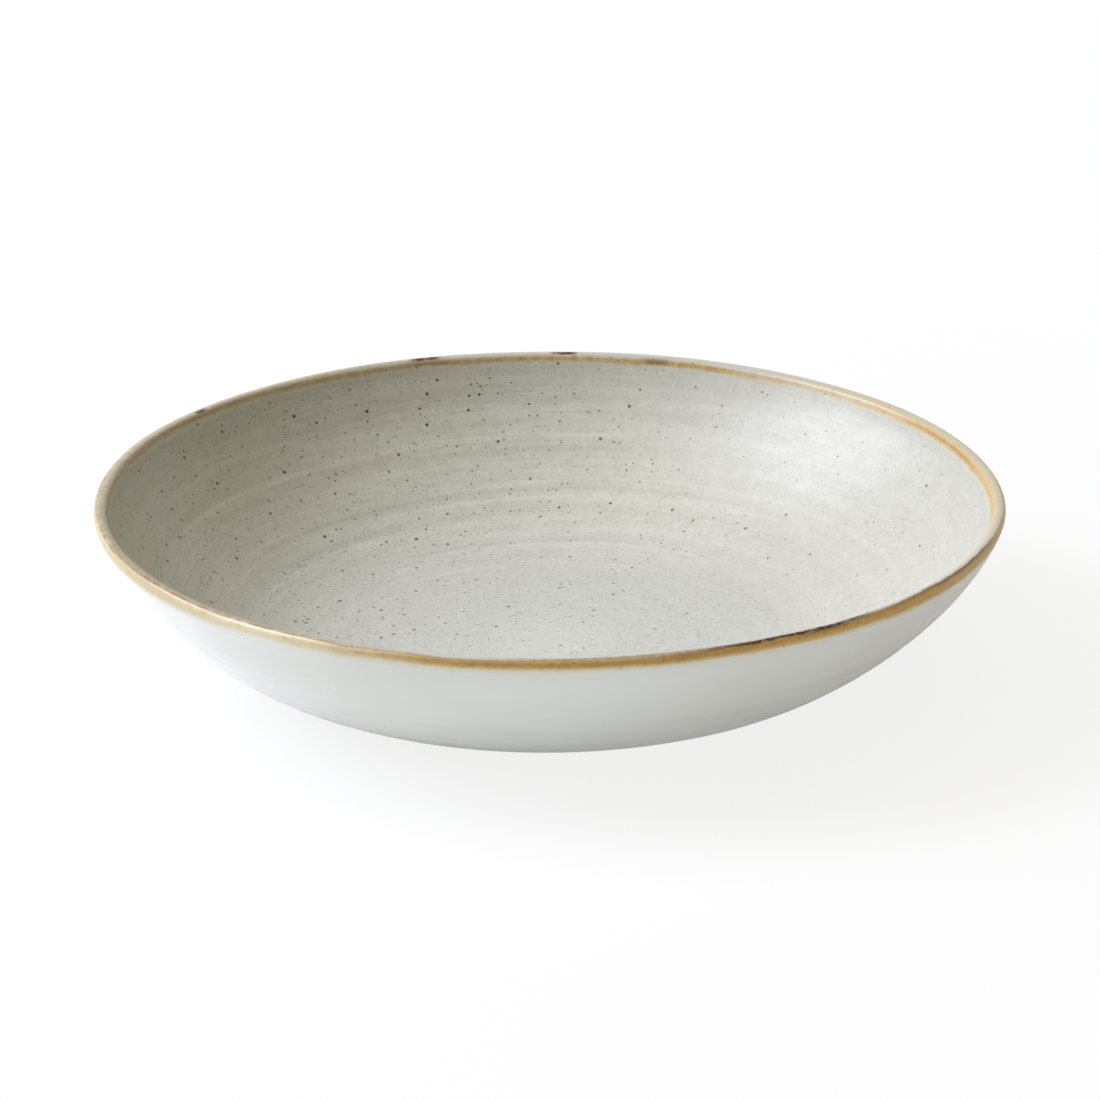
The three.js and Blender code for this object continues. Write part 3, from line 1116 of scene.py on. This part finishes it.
# Patches, in the order of numbers used for the grey glaze
HONEY_PATCHES = (0.35, 4.0, 0.7, 0.3, 0.7)
UNEVEN_STAIN = (0.45, 3.0, 0.65, 0.38, 0.6, 0.55, 1.0)
GOLD_DABS = (0.3, 3.0, 0.65, 0.5, 0.66, 0.0, 0.4)
BURNT_PATCHES = (0.09, 2.0, 0.5, 0.45, 0.7, 0.0, 0.4)
BROKEN_MARKS = (0.6, 3.0, 0.5, 0.3, 0.5, 0.55, 1.0)
# Flecks of iron: mm apart, mm radius, share of places that have one
FLECKS = (1.3, 0.34, 0.4)
print(len(GOLD_HIGHLIGHT_MARKS), "bright,", len(RUSTY_MARKS), "rusty and", len(BURNT_MARKS), "burnt marks")

# %% Lip stain group


def lip_stain_group():
    group, given, made = new_group("Lip stain", {"Color": "Color", **WHERE},
                                   {"Color": "Color", "Burnt": "Float"})
    place = given["Place"]

    def moved(scale, reach):
        return times(plus(cloud(place, scale), -0.5), reach)

    off = plus(given["From Crest"], moved(*WANDERING), moved(*RAGGED))

    def stripe(edges, rises=off, falls=off):
        start, full, last, end = edges
        return times(ease(rises, start, full), ease(falls, end, last))

    def at(degrees, spread, strength=1.0):
        return toward(given["Round"], degrees, spread, strength)

    def left_over(wiped):
        return maths("SUBTRACT", 1.0, at(*wiped))

    def mark(degrees, spread, centre, width, strength):
        core = FULL_SHARE * width
        edges = (centre - width, centre - core, centre + core, centre + width)
        return times(stripe(edges), at(degrees, spread, strength))

    gold = blend(patches(place, *HONEY_PATCHES), GOLD_STAIN, HONEY_STAIN)
    inner_gold = blend(at(*BROWN_INSIDE), gold, INNER_BROWN)
    uneven = patches(place, *UNEVEN_STAIN)
    broken = patches(place, *BROKEN_MARKS)
    wide = maths("SUBTRACT", off, at(*GOLD_RUNS_WIDE))
    low = off
    for climb in INNER_LINE_CLIMBS:
        low = maths("SUBTRACT", low, at(*climb))
    dabs = patches(place, *GOLD_DABS)
    outer_left = maths("MAXIMUM", left_over(WIPED_OUTSIDE), dabs)
    # The inner gold is wiped on the left, uneven, and paler at the right back as painted highlight
    inner_left = times(left_over(WIPED_INSIDE), left_over(HIGHLIGHT_ON_INNER_GOLD), uneven)
    burnt = times(patches(place, *BURNT_PATCHES), stripe(BURNT_LINE))
    for dark in BURNT_MARKS:
        burnt = maths("MAXIMUM", burnt, mark(*dark))
    worn = stripe(WORN_CREST)
    colour = given["Color"]
    # Each layer, from the first to the last: a colour, and the shares that its mask is made of
    for tint, *shares in (
        (YELLOW_EDGE, stripe(YELLOW_OUTSIDE, falls=wide), YELLOW_OUTSIDE_SHARE),
        (CREAM_HALO, stripe(CREAM_OUTSIDE), at(*CREAM_PLACE)),
        (YELLOW_EDGE, stripe(YELLOW_INSIDE), YELLOW_INSIDE_SHARE),
        (DULL_CREST, worn, WORN_SHARE),
        (PALE_CREST, worn, at(*PALE_CREST_PLACE)),
        (CREAM_CREST, worn, at(*CREAM_CREST_PLACE)),
        # Tan crest: partly its own colour, partly painted shade on the left
        *((TAN_AND_SHADE_CREST, stripe(TAN_AND_SHADE_STRIPE), at(*tan), uneven) for tan in TAN_AND_SHADE_PLACES),
        (gold, stripe(GOLD_OUTSIDE, falls=wide), outer_left, GOLD_OUTSIDE_SHARE),
        (inner_gold, stripe(GOLD_INSIDE, low, low), inner_left, GOLD_INSIDE_SHARE),
        # Painted shade: dark olive on the inner side of the crest, on the left
        (OLIVE_PAINTED_SHADE, stripe(PAINTED_SHADE_STRIPE), at(*PAINTED_SHADE_PLACE)),
        # Lighter gold: partly its own colour, partly painted highlight
        *((GOLD_WITH_PAINTED_HIGHLIGHT, mark(*highlit)) for highlit in GOLD_HIGHLIGHT_MARKS),
        *((RUST_STAIN, mark(*rusty), broken) for rusty in RUSTY_MARKS),
        (BROWN_STAIN, burnt, broken),
        (BROWN_STAIN, specks(place, *FLECKS), stripe(FLECKED), FLECK_SHARE),
    ):
        colour = blend(times(*shares), colour, tint)
    group.links.new(colour, made["Color"])
    group.links.new(burnt, made["Burnt"])
    return group


LIP_STAIN = lip_stain_group()
print(LIP_STAIN.name, "has", len(LIP_STAIN.nodes), "nodes")

# %% [markdown]
# From groups to materials
#
# A material here is short: it finds where it is, asks the groups for colour and height, and
# feeds the Principled shader. The roughness follows the height a little, because glaze is
# glossier where it lies thick. On the lip the stain is duller than the glaze, and its burnt
# marks are matt. The height goes through a Bump node, which only tilts the shading. All the
# larger relief is already in the mesh.

# %% Where a point is, and what the shader takes


def places(tree):
    """Position in mm, distance from the crest in mm, and the direction from the axis."""
    position = put(tree, "TexCoord").outputs["Object"]
    flat = vector_maths("MULTIPLY", position, (1.0, 1.0, 0.0))
    return {
        "Place": vector_maths("SCALE", position, Scale=1 / MM),
        "From Crest": put(tree, "Attribute", attribute_name="from_crest").outputs["Fac"],
        "Round": vector_maths("NORMALIZE", flat),
    }


def new_finish(name):
    material = bpy.data.materials.new(name)
    material.use_nodes = True
    return material, material.node_tree


def finished(material, colour, roughness, height, strength, depth):
    """Feeds the shader with a colour, a roughness and bumps of a strength and a depth in mm."""
    tree = material.node_tree
    shader = tree.nodes["Principled BSDF"].inputs
    feeds = {"Height": height, "Strength": strength, "Distance": depth * MM}
    tree.links.new(colour, shader["Base Color"])
    tree.links.new(roughness, shader["Roughness"])
    tree.links.new(put(tree, "Bump", feeds).outputs["Normal"], shader["Normal"])
    return material


print("ready to mix glazes")

# %% Glaze materials
# Start and end in height, and the roughness there
GREY_GLOSS = (0.4, 0.9, 0.42, 0.34)
WHITE_GLOSS = (0.3, 0.9, 0.2, 0.14)
# Bumps: strength, and depth in mm
GREY_BUMPS = (0.2, 0.12)
WHITE_BUMPS = (0.15, 0.1)
LIP_BUMPS = (0.3, 0.12)
# In mm from the crest: where the grey coat gives way to the white, and where the stain starts
COATS_MEET = (-0.5, 0.5)
STAIN_STARTS = (6.0, 3.6)
# Roughness before and on the stain, and how much burnt marks add; skin in clouds per mm and detail
LIP_GLOSS, BURNT_ADDS = (0.17, 0.36), 0.6
LIP_SKIN = (0.7, 3.0)


def grey_inside():
    material, tree = new_finish("brushed_grey_glaze")
    where = places(tree)
    grey = use(GREY_GLAZE, where)
    colour = use(LIP_STAIN, {"Color": grey["Color"], **where})["Color"]
    roughness = ease(grey["Height"], *GREY_GLOSS)
    return finished(material, colour, roughness, grey["Height"], *GREY_BUMPS)


def white_outside(name, on_lip):
    material, tree = new_finish(name)
    where = places(tree)
    white = use(WHITE_GLAZE, where)
    colour = white["Color"]
    if on_lip:
        colour = use(LIP_STAIN, {"Color": colour, **where})["Color"]
    roughness = ease(white["Height"], *WHITE_GLOSS)
    return finished(material, colour, roughness, white["Height"], *WHITE_BUMPS)


def stained_lip():
    material, tree = new_finish("stained_lip_glaze")
    where = places(tree)
    grey, white = use(GREY_GLAZE, where), use(WHITE_GLAZE, where)
    outside = ease(where["From Crest"], *COATS_MEET)
    below = blend(outside, grey["Color"], white["Color"])
    stained = use(LIP_STAIN, {"Color": below, **where})
    dull = ease(stained["Burnt"], 0.0, 1.0, 0.0, BURNT_ADDS)
    roughness = plus(ease(where["From Crest"], *STAIN_STARTS, *LIP_GLOSS), dull)
    skin = times(cloud(where["Place"], *LIP_SKIN), ease(where["From Crest"], *STAIN_STARTS))
    return finished(material, stained["Color"], roughness, skin, *LIP_BUMPS)


inside_coat.data.materials.append(grey_inside())
lip_coat.data.materials.append(stained_lip())
outside_coat.data.materials.append(white_outside("dipped_white_glaze", True))
base_coat.data.materials.append(white_outside("base_white_glaze", False))
print("glazed:", [piece.data.materials[0].name for piece in coats])

# %% [markdown]
# Bare clay
#
# The foot is left bare, so that the plate doesn't stick to the kiln shelf. Fired stoneware is
# matt and sandy: a warm buff with fine grains of paler and darker sand, and iron specks. It is
# hardly seen in the picture, but the plate can be turned over.

# %% Bare clay material
BUFF_CLAY = paint(205, 182, 147)
SANDY_CLAY = paint(184, 158, 122)
# Sand: clouds per mm, detail and roughness; the noise of dark and pale sand, and the gloss
SAND = (1.6, 4.0, 0.7)
SAND_TONES = (0.35, 0.65)
SAND_GLOSS = (0.3, 0.7, 0.92, 0.78)
CLAY_BUMPS = (0.6, 0.15)
# Specks: mm apart, mm radius, share of places that have one, and how dark they are
CLAY_SPECKS, CLAY_SPECKS_DARK = (1.8, 0.3, 0.3), 0.7


def bare_clay():
    material, tree = new_finish("bare_buff_clay")
    place = places(tree)["Place"]
    sand = cloud(place, *SAND)
    colour = blend(ease(sand, *SAND_TONES), SANDY_CLAY, BUFF_CLAY)
    iron = times(specks(place, *CLAY_SPECKS), CLAY_SPECKS_DARK)
    colour = blend(iron, colour, IRON_SPECK)
    return finished(material, colour, ease(sand, *SAND_GLOSS), sand, *CLAY_BUMPS)


clay_piece.data.materials.append(bare_clay())
print("bare:", clay_piece.data.materials[0].name)

# %% [markdown]
# Onto the frame
#
# Each fine piece takes the place of one CAD node, which is hidden, and rides on the plate's only
# body. The table also lists the slot of the finish that the piece's material stands for, but
# nothing here gives the piece that slot.

# %% Dress the CAD nodes
for piece, node, slot in (
    (clay_piece, "clay_body", "bare_clay"),
    (base_coat, "base_glaze", "white_glaze"),
    (outside_coat, "outer_glaze", "white_glaze"),
    (lip_coat, "rim_band", "ochre_glaze"),
    (inside_coat, "inner_glaze", "grey_glaze"),
):
    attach(piece, "root")
    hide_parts(node)
    print(piece.name, "replaces", node)
